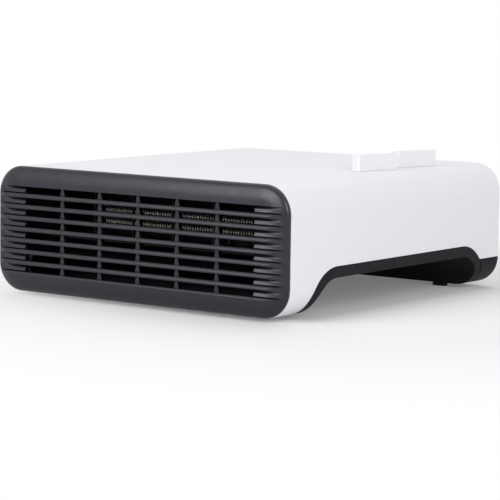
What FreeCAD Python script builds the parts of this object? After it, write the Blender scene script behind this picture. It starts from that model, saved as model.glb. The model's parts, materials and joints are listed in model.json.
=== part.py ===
import FreeCAD
import Part
import Sketcher
import math
import os
import re
from FreeCAD import Placement, Rotation, Vector

# Low, flat fan heater: a sleeve casing over an arched base, a convex slatted front, a fan that lies flat
# over an intake in the raised floor, and coils of resistance wire strung behind the slats.
#
# The pieces are drawn in the casing's own axes: X across, Y back from the front edge of the sleeve, Z up
# from its underside. Every sub-part's Placement then moves it so that the heater stands on its feet with
# the origin below the middle of its box.

# Driving dimensions: millimetres, degrees and counts
SIZES = {
    # Sleeve casing and base
    "casing_width": 300,
    "casing_height": 105.5,
    "casing_depth": 318,
    "corner_radius": 24,
    "casing_wall": 2.6,
    "base_wall": 2.5,
    "seam": 0.2,
    "arch_start": 27.6,
    "arch_back": 22.5,
    "arch_height": 37.4,
    "arch_radius": 37.4,
    "arch_band": 9.3,
    "skirt_height": 24,
    "joint_width": 1,
    "joint_depth": 1.2,
    "boss_radius": 4.5,
    "boss_side": 13,
    "boss_front_y": 100,
    "boss_back": 66,
    "fit": 0.3,
    # Feet
    "foot_height": 3.5,
    "foot_length": 14,
    "foot_width": 8,
    "foot_side": 44.4,
    "foot_back": 24,
    # Front grille
    "grille_bulge": 7.8,
    "grille_roll": 18,
    "grille_gap": 0.6,
    "grille_flank": 1.4,
    "slot_count": 8,
    "slot_height": 6,
    "slat_height": 3.45,
    "slat_depth": 4.8,
    "opening_side": 31.1,
    "groove_side": 3,
    "groove_under": 3.6,
    "groove_lip": 6.2,
    "groove_lip_rise": 1.1,
    "groove_middle": 5.2,
    "groove_floor": 2.6,
    "groove_end": 5.2,
    "slat_round": 2.6,
    "slat_lean": 0.95,
    "slat_under": 0.6,
    "rib_count": 5,
    "rib_pitch": 40.2,
    "rib_width": 2.3,
    "rib_foot": 4.8,
    "rib_depth": 4.4,
    "grille_skirt": 10,
    "skirt_wall": 2,
    # Rear panel and cord inlet
    "panel_thickness": 2.5,
    "panel_recess": 3,
    "panel_rim": 8,
    "vent_count": 6,
    "vent_height": 3,
    "vent_pitch": 8,
    "vent_width": 170,
    "vent_z": 34,
    "inlet_side": 45,
    "inlet_z": 44,
    "inlet_bore": 4,
    "inlet_neck": 6.5,
    "inlet_flange": 9,
    "inlet_flange_thickness": 2.5,
    "inlet_length": 14,
    "inlet_nut_thickness": 4,
    # Knobs and the controls under them
    "knob_side": 39.7,
    "thermostat_back": 140.5,
    "selector_back": 80,
    "thermostat_turn": -15,
    "selector_turn": -15,
    "knob_gap": 0.15,
    "grip_length": 45,
    "grip_width": 9.1,
    "grip_corner": 1.6,
    "grip_height": 13.4,
    "spindle_radius": 3,
    "spindle_grip": 8,
    "running_gap": 0.05,
    "control_length": 34,
    "control_width": 30,
    "control_height": 17,
    "control_flange": 2,
    "control_ear": 21,
    "control_post": 6,
    "control_post_radius": 3.5,
    "control_screw": 1.4,
    "collar_radius": 4,
    # Intake, fan housing and impeller
    "fan_x": -22,
    "fan_y": 165,
    "intake_radius": 50,
    "guard_rings": 4,
    "guard_pitch": 10.5,
    "guard_bar": 2,
    "guard_spokes": 8,
    "guard_flange": 3,
    "guard_lip": 1.4,
    "housing_wall": 2,
    "housing_half": 74,
    "housing_round": 66,
    "post_height": 4,
    "post_radius": 4,
    "ear_length": 14,
    "ear_width": 12,
    "ear_thickness": 2,
    "ear_spread": 52,
    "screw_radius": 1.75,
    "screw_head": 3.5,
    "screw_head_height": 2.2,
    "drive_width": 0.9,
    "casing_screw_length": 15,
    "housing_screw_length": 7,
    "impeller_radius": 62,
    "impeller_lift": 2.6,
    "impeller_gap": 2.9,
    "blade_count": 26,
    "blade_inner": 46,
    "blade_lean": 8,
    "blade_thickness": 1.4,
    "plate_thickness": 2,
    "hub_radius": 9,
    "hub_rise": 6,
    "clip_thickness": 2,
    # Motor
    "shaft_radius": 2,
    "press_gap": 0.02,
    "rotor_radius": 11,
    "air_gap": 0.4,
    "stack_height": 16,
    "stack_half_width": 25,
    "stack_front": 24,
    "stack_back": 38,
    "stack_leg": 14,
    "window_half_width": 17,
    "window_wall": 1.8,
    "bobbin_half": 15,
    "bobbin_wall": 1.3,
    "bobbin_flange": 1.5,
    "winding_depth": 7,
    "bracket_thickness": 2,
    "bracket_width": 18,
    "bracket_length": 52,
    "spacer_height": 4,
    "spacer_radius": 3.4,
    "motor_screw": 1.6,
    "motor_screw_x": 21,
    "grommet_height": 3.4,
    "grommet_radius": 4,
    "bearing_radius": 4.5,
    "bearing_height": 6,
    "motor_headroom": 7.3,
    # Heater duct and element
    "duct_side": 23,
    "duct_front": 4,
    "duct_back": 82,
    "duct_headroom": 10.3,
    "duct_wall": 0.8,
    "element_width": 164,
    "element_x": 14,
    "element_depth": 30,
    "element_y": 40,
    "element_headroom": 4.7,
    "mica_thickness": 1,
    "support_spacing": 42,
    "row_count": 4,
    "row_pitch": 9.5,
    "row_stagger": 8,
    "coil_radius": 3.2,
    "coil_wire": 0.8,
    "coil_turns": 24,
    "coil_lead": 2.4,
    "coil_hole": 4.4,
    "terminal_radius": 4.2,
    "terminal_thickness": 1.2,
    "terminal_tail": 4,
    "rail_bracket": 8,
    "cutout_radius": 8,
    "cutout_height": 6,
    "cutout_x": 55,
    "cutout_y": 52,
    "fuse_radius": 1.6,
    "fuse_length": 12,
    "fuse_x": -30,
    # Terminal block and lead wires
    "block_length": 34,
    "block_width": 16,
    "block_height": 14,
    "block_back": 70,
    "block_ways": 3,
    "block_bore": 2.2,
    "wire_radius": 1.2,
    "lead_shift": 6,
    "lead_sag": 14,
}

# Levels and places that several pieces share
FLOOR = "(arch_height - arch_band + base_wall)"
CEILING = "(casing_height - casing_wall)"
MOTOR_HEIGHT = "(grommet_height + 2 * bracket_thickness + 2 * spacer_height + stack_height + motor_screw)"
HOUSING_TOP = f"({CEILING} - motor_headroom - {MOTOR_HEIGHT})"
HOUSING_HEIGHT = f"({HOUSING_TOP} - housing_wall - {FLOOR})"
IMPELLER_HEIGHT = f"({HOUSING_HEIGHT} - impeller_lift - impeller_gap)"
HOUSING_BACK = "(fan_y + housing_half)"
IMPELLER_Z = f"({FLOOR} + impeller_lift)"
LOWER_BRACKET_Z = f"({HOUSING_TOP} + grommet_height)"
STACK_Z = f"({LOWER_BRACKET_Z} + bracket_thickness + spacer_height)"
UPPER_BRACKET_Z = f"({STACK_Z} + stack_height + spacer_height)"
PANEL_Y = "(casing_depth - panel_recess - panel_thickness)"
FLANGE_Z = f"({CEILING} - control_post - control_flange)"
DUCT_TOP = f"({CEILING} - duct_headroom)"
DUCT_HALF = "(casing_width / 2 - duct_side)"
FRAME_HALF = "((row_count - 1) * row_pitch / 2 + row_pitch * 0.62)"
ELEMENT_Z = f"({DUCT_TOP} - duct_wall - element_headroom - mica_thickness - {FRAME_HALF})"
FIELD_HEIGHT = "(slot_count * slot_height + (slot_count - 1) * slat_height)"
ROW_Y = "((grille_bulge - casing_depth) / 2)"
ARCH_END = "(casing_depth - arch_back)"
BOSS_X = "(casing_width / 2 - boss_side)"
BOSS_ROWS = ("boss_front_y", "casing_depth - boss_back")
BOSSES = [(side, back) for side in (BOSS_X, f"-{BOSS_X}") for back in BOSS_ROWS]
FOOT_X = "(casing_width / 2 - foot_side)"
OPENING_HALF = "(casing_width / 2 - opening_side)"
INLET_X = "(casing_width / 2 - inlet_side)"
BLOCK_Y = "(casing_depth - block_back)"
KNOB_X = "(casing_width / 2 - knob_side)"
THERMOSTAT_Y = "(casing_depth - thermostat_back)"
SELECTOR_Y = "(casing_depth - selector_back)"
CONTROLS = {"thermostat": THERMOSTAT_Y, "selector": SELECTOR_Y}

doc = FreeCAD.newDocument("fan_heater")
sheet = doc.addObject("Spreadsheet::Sheet", "sizes")
for row, (alias, number) in enumerate(SIZES.items(), start=1):
    sheet.set(f"A{row}", alias)
    sheet.set(f"B{row}", str(number))
    sheet.setAlias(f"B{row}", alias)
doc.recompute()

ALIASES = re.compile(r"\b(" + "|".join(SIZES) + r")\b")
nodes = {}


# Formulas and placing

def expand(formula):
    """Put the sheet's name before each alias of a formula."""
    return ALIASES.sub(r"sizes.\1", str(formula))


def value(formula):
    """The number that a formula gives with the sheet's present sizes."""
    return float(sheet.evalExpression(expand(formula)))


def count(alias):
    return int(round(value(alias)))


def bind(item, prop, formula):
    item.setExpression(prop, expand(formula))


def place(item, at):
    for axis, formula in zip("xyz", at):
        bind(item, f"Placement.Base.{axis}", formula)
    return item


AT_ORIGIN = ("0", "0", "0")


def node(label, item, at=AT_ORIGIN, turn=None):
    """Name a finished sub-part and set it in the heater's frame."""
    across, back, up = at
    if turn is not None:
        item.Placement = Placement(Vector(), Rotation(Vector(0, 0, 1), value(turn)))
        bind(item, "Placement.Rotation.Angle", turn)
    place(item, (across, f"{back} + {ROW_Y}", f"{up} + foot_height"))
    item.Label = label
    nodes[label] = item
    return item


# Primitives and booleans

def block(name, size, at):
    """A box of the given size with its lowest corner at a place."""
    item = doc.addObject("Part::Box", name)
    for prop, formula in zip(("Length", "Width", "Height"), size):
        bind(item, prop, formula)
    return place(item, at)


def slab(name, across, back, up):
    """A box between two formulas on each axis."""
    spans = (across, back, up)
    size = [f"{high} - ({low})" for low, high in spans]
    return block(name, size, [low for low, high in spans])


TILTS = {
    "x": Rotation(Vector(0, 1, 0), 90),
    "y": Rotation(Vector(1, 0, 0), -90),
    "z": Rotation(),
}


def rod(name, radius, length, at, axis="z"):
    """A cylinder from a place along an axis."""
    item = doc.addObject("Part::Cylinder", name)
    item.Placement = Placement(Vector(), TILTS[axis])
    bind(item, "Radius", radius)
    bind(item, "Height", length)
    return place(item, at)


def fuse(name, *items):
    if len(items) == 1:
        return items[0]
    item = doc.addObject("Part::MultiFuse", name)
    item.Shapes = list(items)
    item.Refine = True
    return item


def cut(name, base, *tools):
    item = doc.addObject("Part::Cut", name)
    item.Base = base
    item.Tool = fuse(name + "_tools", *tools)
    item.Refine = True
    return item


def common(name, one, other):
    item = doc.addObject("Part::Common", name)
    item.Base = one
    item.Tool = other
    return item


def group(name, items):
    item = doc.addObject("Part::Compound", name)
    item.Links = list(items)
    return item


def ring(name, outer, inner, length, at, axis="z"):
    """A tube between two radii."""
    solid = rod(name + "_outer", outer, length, at, axis)
    return cut(name, solid, rod(name + "_bore", inner, length, at, axis))


def screw(name, radius, head, head_height, length, at, up=True):
    """A cross-headed screw whose head meets its seat at a place and whose shank points up or down."""
    across, back, level = at
    head_level = f"{level} - ({head_height})" if up else level
    shank_level = level if up else f"{level} - ({length})"
    shank = rod(name + "_shank", radius, length, (across, back, shank_level))
    solid = fuse(name + "_solid", rod(name + "_head", head, head_height, (across, back, head_level)), shank)
    depth = f"({head_height}) / 2"
    drive_level = head_level if up else f"{level} + {depth}"
    arms = []
    for wide, deep in ((head, "drive_width"), ("drive_width", head)):
        corner = (f"{across} - ({wide}) / 2", f"{back} - ({deep}) / 2", drive_level)
        arms.append(block(f"{name}_drive_{len(arms)}", (wide, deep, depth), corner))
    return cut(name, solid, *arms)


# Bodies with sketches

def new_body(name):
    return doc.addObject("PartDesign::Body", name)


def flat_sketch(body, name, plane, shift="0"):
    """An empty sketch on one of the body's own planes, moved along that plane's normal."""
    sketch = body.newObject("Sketcher::SketchObject", name)
    support = [item for item in body.Origin.OriginFeatures if item.Role == plane][0]
    sketch.AttachmentSupport = [(support, "")]
    sketch.MapMode = "FlatFace"
    bind(sketch, "AttachmentOffset.Base.z", shift)
    return sketch


def pin(sketch, geometry, position, corner):
    """Hold one point of a sketch at a pair of formulas."""
    for kind, formula in zip(("DistanceX", "DistanceY"), corner):
        index = sketch.addConstraint(
            Sketcher.Constraint(kind, -1, 1, geometry, position, value(formula)))
        bind(sketch, f"Constraints[{index}]", formula)


def hold_radius(sketch, geometry, formula):
    index = sketch.addConstraint(Sketcher.Constraint("Radius", geometry, value(formula)))
    bind(sketch, f"Constraints[{index}]", formula)


def add_circle(sketch, across, up, radius):
    circle = Part.Circle(Vector(value(across), value(up), 0), Vector(0, 0, 1), value(radius))
    geometry = sketch.addGeometry(circle)
    pin(sketch, geometry, 3, (across, up))
    hold_radius(sketch, geometry, radius)


def corner_round(before, here, after, radius):
    """Where a rounded corner starts and ends, and its centre."""
    back = (before - here).normalize()
    ahead = (after - here).normalize()
    half = math.acos(back.dot(ahead)) / 2
    run = radius / math.tan(half)
    centre = here + (back + ahead).normalize() * (radius / math.sin(half))
    return here + back * run, here + ahead * run, centre


def add_outline(sketch, corners):
    """A closed outline, anticlockwise; a corner is (across, up), or (across, up, radius) to round it."""
    points = [Vector(value(corner[0]), value(corner[1]), 0) for corner in corners]
    total = len(corners)
    rounds = []
    for index, corner in enumerate(corners):
        here = points[index]
        if len(corner) == 2:
            rounds.append((here, here, None))
        else:
            after = points[(index + 1) % total]
            rounds.append(corner_round(points[index - 1], here, after, value(corner[2])))
    sides = []
    for index in range(total):
        segment = Part.LineSegment(rounds[index][1], rounds[(index + 1) % total][0])
        sides.append(sketch.addGeometry(segment))
    for index, corner in enumerate(corners):
        before, after = sides[index - 1], sides[index]
        start, end, centre = rounds[index]
        if centre is None:
            sketch.addConstraint(Sketcher.Constraint("Coincident", before, 2, after, 1))
            pin(sketch, after, 1, corner)
            continue
        first = math.atan2(start.y - centre.y, start.x - centre.x)
        last = math.atan2(end.y - centre.y, end.x - centre.x)
        if last < first:
            last += 2 * math.pi
        circle = Part.Circle(centre, Vector(0, 0, 1), value(corner[2]))
        arc = sketch.addGeometry(Part.ArcOfCircle(circle, first, last))
        apex = sketch.addGeometry(Part.Point(points[index]), True)
        sketch.addConstraint(Sketcher.Constraint("Tangent", before, 2, arc, 1))
        sketch.addConstraint(Sketcher.Constraint("Tangent", arc, 2, after, 1))
        sketch.addConstraint(Sketcher.Constraint("PointOnObject", apex, 1, before))
        sketch.addConstraint(Sketcher.Constraint("PointOnObject", apex, 1, after))
        pin(sketch, apex, 1, corner)
        hold_radius(sketch, arc, corner[2])


def outline(body, name, plane, corners, shift="0"):
    sketch = flat_sketch(body, name, plane, shift)
    add_outline(sketch, corners)
    return sketch


def circle_sketch(body, name, plane, radius, shift="0"):
    sketch = flat_sketch(body, name, plane, shift)
    add_circle(sketch, "0", "0", radius)
    return sketch


def rectangle(left, right, low, high, radius=None):
    corners = [(left, low), (right, low), (right, high), (left, high)]
    if radius is None:
        return corners
    return [corner + (radius,) for corner in corners]


def pad(body, sketch, length, reverse=False, both=False):
    feature = body.newObject("PartDesign::Pad", sketch.Name + "_pad")
    feature.Profile = sketch
    bind(feature, "Length", length)
    feature.Reversed = reverse
    feature.SideType = "Symmetric" if both else "One side"
    return feature


def pocket(body, sketch, length, reverse=False):
    feature = body.newObject("PartDesign::Pocket", sketch.Name + "_pocket")
    feature.Profile = sketch
    bind(feature, "Length", length)
    feature.Reversed = reverse
    return feature


def origin_axis(body, role):
    return [item for item in body.Origin.OriginFeatures if item.Role == role][0]


def row_of(body, feature, role, length, copies):
    """Repeat a feature in a row along one of the body's axes."""
    pattern = body.newObject("PartDesign::LinearPattern", feature.Name + "_row")
    pattern.Originals = [feature]
    pattern.Direction = (origin_axis(body, role), [""])
    bind(pattern, "Length", length)
    bind(pattern, "Occurrences", copies)
    body.Tip = pattern
    return pattern


def circle_of(body, feature, copies):
    """Repeat a feature round the body's upright axis."""
    pattern = body.newObject("PartDesign::PolarPattern", feature.Name + "_circle")
    pattern.Originals = [feature]
    pattern.Axis = (origin_axis(body, "Z_Axis"), [""])
    pattern.Angle = 360
    bind(pattern, "Occurrences", copies)
    body.Tip = pattern
    return pattern


# Shared solids of the casing and the base

def casing_outline(inset):
    """The sleeve's rounded outline, drawn in on every side."""
    half = f"casing_width / 2 - ({inset})"
    return rectangle(f"-({half})", half, inset, f"casing_height - ({inset})", f"corner_radius - ({inset})")


def sleeve(name, inset, start="0", stop="casing_depth"):
    """A solid of the sleeve's outline between two depths."""
    body = new_body(name)
    sketch = outline(body, name + "_outline", "XZ_Plane", casing_outline(inset), f"-({start})")
    pad(body, sketch, f"{stop} - ({start})", reverse=True)
    return body


def arch(name, inset):
    """The space under the side arches, right across the casing, drawn in on every side."""
    body = new_body(name)
    front = f"arch_start + {inset}"
    back = f"{ARCH_END} - ({inset})"
    top = f"arch_height - ({inset})"
    radius = f"arch_radius - ({inset})"
    corners = [(front, "-arch_radius"), (back, "-arch_radius"), (back, top, radius), (front, top, radius)]
    pad(body, outline(body, name + "_side", "YZ_Plane", corners), "2 * casing_width", both=True)
    return body


def rear_corner(name, gap):
    """The space of the base's rear end, below the casing's skirt."""
    across = ("-casing_width", "casing_width")
    back = (f"{ARCH_END} - arch_radius", "2 * casing_depth")
    return slab(name, across, back, ("-arch_radius", f"skirt_height - {gap}"))


casing_solid = sleeve("casing_solid", "0")
casing_hollow = sleeve("casing_hollow", "casing_wall", "-casing_wall", "casing_depth + casing_wall")


def top_casing():
    """The sleeve, open at the front and back, with screw bosses and control posts under its top."""
    arch_space = arch("casing_arch", "0")
    shell = cut("casing_shell", casing_solid, casing_hollow, arch_space, rear_corner("casing_rear", "0"))
    columns = []
    holes = []
    for index, (across, back) in enumerate(BOSSES):
        depth = f"casing_height - {FLOOR}"
        columns.append(rod(f"boss_{index}", "boss_radius", depth, (across, back, FLOOR)))
        length = "casing_screw_length - base_wall + fit"
        holes.append(rod(f"boss_hole_{index}", "screw_radius + press_gap", length, (across, back, FLOOR)))
    pillars = [common("bosses", fuse("boss_columns", *columns), sleeve("boss_room", "casing_wall / 2"))]
    for name, back in CONTROLS.items():
        centre = (KNOB_X, back, FLANGE_Z)
        holes.append(rod(f"{name}_opening", "collar_radius + fit", "casing_height", centre))
        for side in ("control_ear", "-control_ear"):
            label = f"{name}_post_{side.strip('-')}_{len(pillars)}"
            at = (f"{KNOB_X} + {side}", back, f"{CEILING} - control_post")
            pillars.append(rod(label, "control_post_radius", "control_post + casing_wall / 2", at))
            holes.append(rod(label + "_hole", "control_screw + press_gap", "control_post", at))
    return node("top_casing", cut("casing_holes", fuse("casing_whole", shell, *pillars), *holes))


def seat_places():
    """Where the fan housing and the heater duct are screwed down."""
    reach = "housing_half + ear_length / 2"
    places = []
    for side in ("-", "+"):
        for back in ("fan_y - ear_width / 2", "fan_y - ear_width / 2 - ear_spread"):
            places.append((f"fan_x {side} ({reach})", back))
        places.append((f"0 {side} ({DUCT_HALF} + ear_length / 2)", "duct_back - ear_width / 2"))
    return places


def rear_joint():
    """The thin groove between the base's arch and its rear corner."""
    band = cut("joint_band", arch("joint_outer", "0"), arch("joint_inner", "joint_width"))
    core = sleeve("joint_core", "joint_depth", "-joint_depth", "casing_depth + joint_depth")
    skin = cut("joint_skin", casing_solid, core)
    return common("joint_groove", common("joint_strip", band, rear_corner("joint_corner", "0")), skin)


def base_tray():
    """The arched base: a raised floor between two foot bars, with the intake through the floor."""
    space = fuse("base_space", arch("base_arch", "seam"), rear_corner("base_rear", "seam"))
    cavity = cut("base_cavity", casing_hollow, arch("floor_top", "(arch_band - base_wall)"))
    shell = cut("base_shell", common("base_block", casing_solid, space), arch("tunnel", "arch_band"), cavity)
    posts = []
    holes = [rod("intake", "intake_radius", "4 * base_wall", ("fan_x", "fan_y", f"{FLOOR} - 2 * base_wall"))]
    for index, (across, back) in enumerate(seat_places()):
        low = f"{FLOOR} - base_wall / 2"
        posts.append(rod(f"post_{index}", "post_radius", "post_height + base_wall / 2", (across, back, low)))
        depth = "housing_screw_length - ear_thickness + fit"
        at = (across, back, f"{FLOOR} + post_height - ({depth})")
        holes.append(rod(f"post_hole_{index}", "screw_radius + press_gap", depth, at))
    for index, (across, back) in enumerate(BOSSES):
        at = (across, back, f"{FLOOR} - 2 * base_wall")
        holes.append(rod(f"base_hole_{index}", "screw_radius + fit", "3 * base_wall", at))
    return node("base_tray", cut("base_holes", fuse("base_whole", shell, *posts), rear_joint(), *holes))


# Front

ROLL_STEPS = (0, 18, 36, 54, 72, 90)


def slat_flare(body, span):
    """The mouth of one slot seen from the side, which rounds the fronts of the slats above and below it."""
    sketch = flat_sketch(body, "grille_flare", "YZ_Plane")
    low, high = span
    ahead = "-2 * grille_bulge"
    front = "-grille_bulge"
    inner = "slat_lean - grille_bulge"
    under = "slat_under - grille_bulge"
    curve = "(slat_round ^ 2 + slat_lean ^ 2) / (2 * slat_lean)"
    lower = f"{low} - slat_round"
    upper = f"{high} + slat_under"
    runs = [((inner, low), (under, high)), ((front, upper), (ahead, upper)), ((ahead, upper), (ahead, lower)),
            ((ahead, lower), (front, lower))]
    lines = []
    for run in runs:
        start, stop = (Vector(value(across), value(up), 0) for across, up in run)
        lines.append(sketch.addGeometry(Part.LineSegment(start, stop)))
        pin(sketch, lines[-1], 1, run[0])
        pin(sketch, lines[-1], 2, run[1])
    back, top, _, bottom = lines
    spread = math.asin(value("slat_round") / value(curve))
    corners = ((lower, curve, math.pi - spread, math.pi, ((back, 1), (bottom, 2))),
               (upper, "slat_under", math.pi, 1.5 * math.pi, ((top, 1), (back, 2))))
    for up, radius, first, last, ends in corners:
        centre = Vector(value(radius) - value("grille_bulge"), value(up), 0)
        circle = Part.Circle(centre, Vector(0, 0, 1), value(radius))
        arc = sketch.addGeometry(Part.ArcOfCircle(circle, first, last))
        for position, (line, point) in enumerate(ends, start=1):
            sketch.addConstraint(Sketcher.Constraint("Coincident", arc, position, line, point))
        hold_radius(sketch, arc, radius)
    return sketch


def groove_scoop(body, low):
    """The hollow between two slats' ends: it leans back from a lip like a scoop and runs out to the side."""
    end = "(casing_width / 2 - groove_side)"
    ahead = "-2 * grille_bulge"
    sections = []
    levels = {"groove_under": "0", "groove_lip": "groove_lip_rise",
              "groove_middle": "(groove_lip_rise + slot_height) / 2", "groove_floor": "slot_height"}
    for floor, up in levels.items():
        plan = [(f"-{end}", ahead), (end, ahead), (end, "-groove_end"), (OPENING_HALF, f"-{floor}"),
                (f"-{OPENING_HALF}", f"-{floor}"), (f"-{end}", "-groove_end")]
        sections.append(outline(body, f"grille_{floor}", "XY_Plane", plan, f"{low} + {up}"))
    scoop = body.newObject("PartDesign::SubtractiveLoft", "grille_scoop")
    scoop.Profile = sections[0]
    scoop.Sections = sections[1:]
    scoop.Ruled = True
    return scoop


def rib_corners(middle, low):
    """A rib seen from the front: narrow under each slat and spread to a foot on the slat below."""
    right, left = [], []
    for index in range(count("slot_count")):
        foot = f"{low} + {index} * (slot_height + slat_height)"
        for half, up in (("rib_foot / 2", foot), ("rib_width / 2", f"{foot} + slot_height")):
            right.append((f"{middle} + {half}", up))
            left.append((f"{middle} - {half}", up))
    return right + left[::-1]


def front_grille():
    """The convex slatted front: its rim rolls back to a gap at the sleeve and its skirt slides inside."""
    body = new_body("grille")
    rim = outline(body, "grille_rim", "XZ_Plane", casing_outline("0"), "grille_gap")
    pad(body, rim, "grille_flank")
    sections = []
    start = "(grille_gap + grille_flank)"
    for angle in ROLL_STEPS:
        inset = f"grille_roll * (1 - cos({angle}))"
        shift = f"{start} + (grille_bulge - {start}) * sin({angle})"
        sections.append(outline(body, f"grille_roll_{angle}", "XZ_Plane", casing_outline(inset), shift))
    loft = body.newObject("PartDesign::AdditiveLoft", "grille_pillow")
    loft.Profile = sections[0]
    loft.Sections = sections[1:]
    edge = flat_sketch(body, "grille_edge", "XZ_Plane", "grille_gap")
    add_outline(edge, casing_outline("casing_wall + fit"))
    add_outline(edge, casing_outline("casing_wall + fit + skirt_wall"))
    pad(body, edge, "grille_gap + grille_skirt", reverse=True)
    low = f"(casing_height - {FIELD_HEIGHT}) / 2"
    high = f"(casing_height + {FIELD_HEIGHT}) / 2"
    half = OPENING_HALF
    recess = outline(body, "grille_recess", "XZ_Plane", rectangle(f"-{half}", half, low, high))
    pocket(body, recess, "grille_bulge - slat_depth", reverse=True)
    first = (low, f"{low} + slot_height")
    slot = outline(body, "grille_slot", "XZ_Plane", rectangle(f"-{half}", half, *first), "2 * grille_bulge")
    travel = "(slot_count - 1) * (slot_height + slat_height)"
    row_of(body, groove_scoop(body, low), "Z_Axis", travel, "slot_count")
    row_of(body, pocket(body, slot, "3 * grille_bulge"), "Z_Axis", travel, "slot_count")
    flare = pocket(body, slat_flare(body, first), "casing_width - 2 * groove_side")
    flare.SideType = "Symmetric"
    row_of(body, flare, "Z_Axis", travel, "slot_count")
    reach = "rib_pitch * (rib_count - 1)"
    corners = rib_corners(f"-{reach} / 2", low)
    rib = outline(body, "grille_rib", "XZ_Plane", corners, "grille_bulge - slat_depth")
    row_of(body, pad(body, rib, "rib_depth", reverse=True), "X_Axis", reach, "rib_count")
    return node("front_grille", body)


# Back

def rear_panel():
    """The flat back with its rim, air slots and the hole for the cord inlet."""
    body = new_body("panel")
    face = outline(body, "panel_face", "XZ_Plane", casing_outline("casing_wall + fit"), f"-({PANEL_Y})")
    pad(body, face, "panel_thickness", reverse=True)
    rim = flat_sketch(body, "panel_rim_ring", "XZ_Plane", f"-({PANEL_Y})")
    add_outline(rim, casing_outline("casing_wall + fit"))
    add_outline(rim, casing_outline("casing_wall + fit + skirt_wall"))
    pad(body, rim, "panel_rim")
    half = "vent_width / 2"
    left = "fan_x"
    vent = rectangle(f"{left} - {half}", f"{left} + {half}", "vent_z", "vent_z + vent_height")
    cutter = outline(body, "panel_vent", "XZ_Plane", vent, f"-({PANEL_Y} - panel_thickness)")
    vents = pocket(body, cutter, "3 * panel_thickness")
    row_of(body, vents, "Z_Axis", "(vent_count - 1) * vent_pitch", "vent_count")
    at = (INLET_X, f"{PANEL_Y} - panel_thickness", "inlet_z")
    hole = rod("panel_inlet", "inlet_neck + press_gap", "3 * panel_thickness", at, "y")
    return node("rear_panel", cut("panel_holes", body, hole))


def cord_inlet():
    """The flanged bush that the supply cord passes through, and its nut inside the panel."""
    outer = f"{PANEL_Y} + panel_thickness"
    flange = rod("bush_flange", "inlet_flange", "inlet_flange_thickness", (INLET_X, outer, "inlet_z"), "y")
    start = f"{outer} + inlet_flange_thickness - inlet_length"
    neck = rod("bush_neck", "inlet_neck", "inlet_length", (INLET_X, start, "inlet_z"), "y")
    bore = rod("bush_bore", "inlet_bore", "inlet_length", (INLET_X, start, "inlet_z"), "y")
    node("cord_inlet_bush", cut("bush", fuse("bush_solid", flange, neck), bore))
    seat = (INLET_X, f"{PANEL_Y} - inlet_nut_thickness", "inlet_z")
    nut = ring("inlet_ring", "inlet_flange", "inlet_neck + press_gap", "inlet_nut_thickness", seat, "y")
    node("cord_inlet_nut", nut)


# Feet and screws

def rubber_feet():
    pads = []
    straight = "foot_length - foot_width"
    front = "arch_start + arch_band / 2"
    for side in (FOOT_X, f"-{FOOT_X}"):
        for back in (front, "casing_depth - foot_back"):
            name = f"foot_{len(pads)}"
            low = "-foot_height"
            corner = (f"{side} - ({straight}) / 2", f"{back} - foot_width / 2", low)
            middle = block(name + "_middle", (straight, "foot_width", "foot_height"), corner)
            ends = []
            for end in ("-", "+"):
                at = (f"{side} {end} ({straight}) / 2", back, low)
                ends.append(rod(f"{name}_end_{len(ends)}", "foot_width / 2", "foot_height", at))
            pads.append(fuse(name, middle, *ends))
    return node("rubber_feet", group("feet", pads))


def screws():
    under = f"{FLOOR} - base_wall"
    held = []
    for index, (across, back) in enumerate(BOSSES):
        held.append(screw(f"casing_screw_{index}", "screw_radius", "screw_head", "screw_head_height",
                          "casing_screw_length", (across, back, under)))
    node("casing_screws", group("casing_screw_set", held))
    top = f"{FLOOR} + post_height + ear_thickness"
    seated = []
    for index, (across, back) in enumerate(seat_places()):
        seated.append(screw(f"housing_screw_{index}", "screw_radius", "screw_head", "screw_head_height",
                            "housing_screw_length", (across, back, top), up=False))
    node("housing_screws", group("housing_screw_set", seated))
    small = []
    for name, back in CONTROLS.items():
        for side in ("control_ear", "-control_ear"):
            at = (f"{KNOB_X} + {side}", back, FLANGE_Z)
            small.append(screw(f"{name}_screw_{len(small)}", "control_screw", "2 * control_screw",
                               "control_flange", "control_flange + control_post - fit", at))
    node("control_screws", group("control_screw_set", small))


# Knobs and controls

def knob(label, back, turn):
    """A plain bar to grip, with a blind hole for the spindle."""
    body = new_body(f"{label}_body")
    half = "grip_width / 2"
    reach = "grip_length / 2"
    bar = rectangle(f"-{half}", half, f"-{reach}", reach, "grip_corner")
    pad(body, outline(body, f"{label}_bar", "XY_Plane", bar), "grip_height")
    hole = circle_sketch(body, f"{label}_hole", "XY_Plane", "spindle_radius + press_gap")
    pocket(body, hole, "spindle_grip + fit", reverse=True)
    return node(label, body, (KNOB_X, back, "casing_height + knob_gap"), turn)


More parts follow.
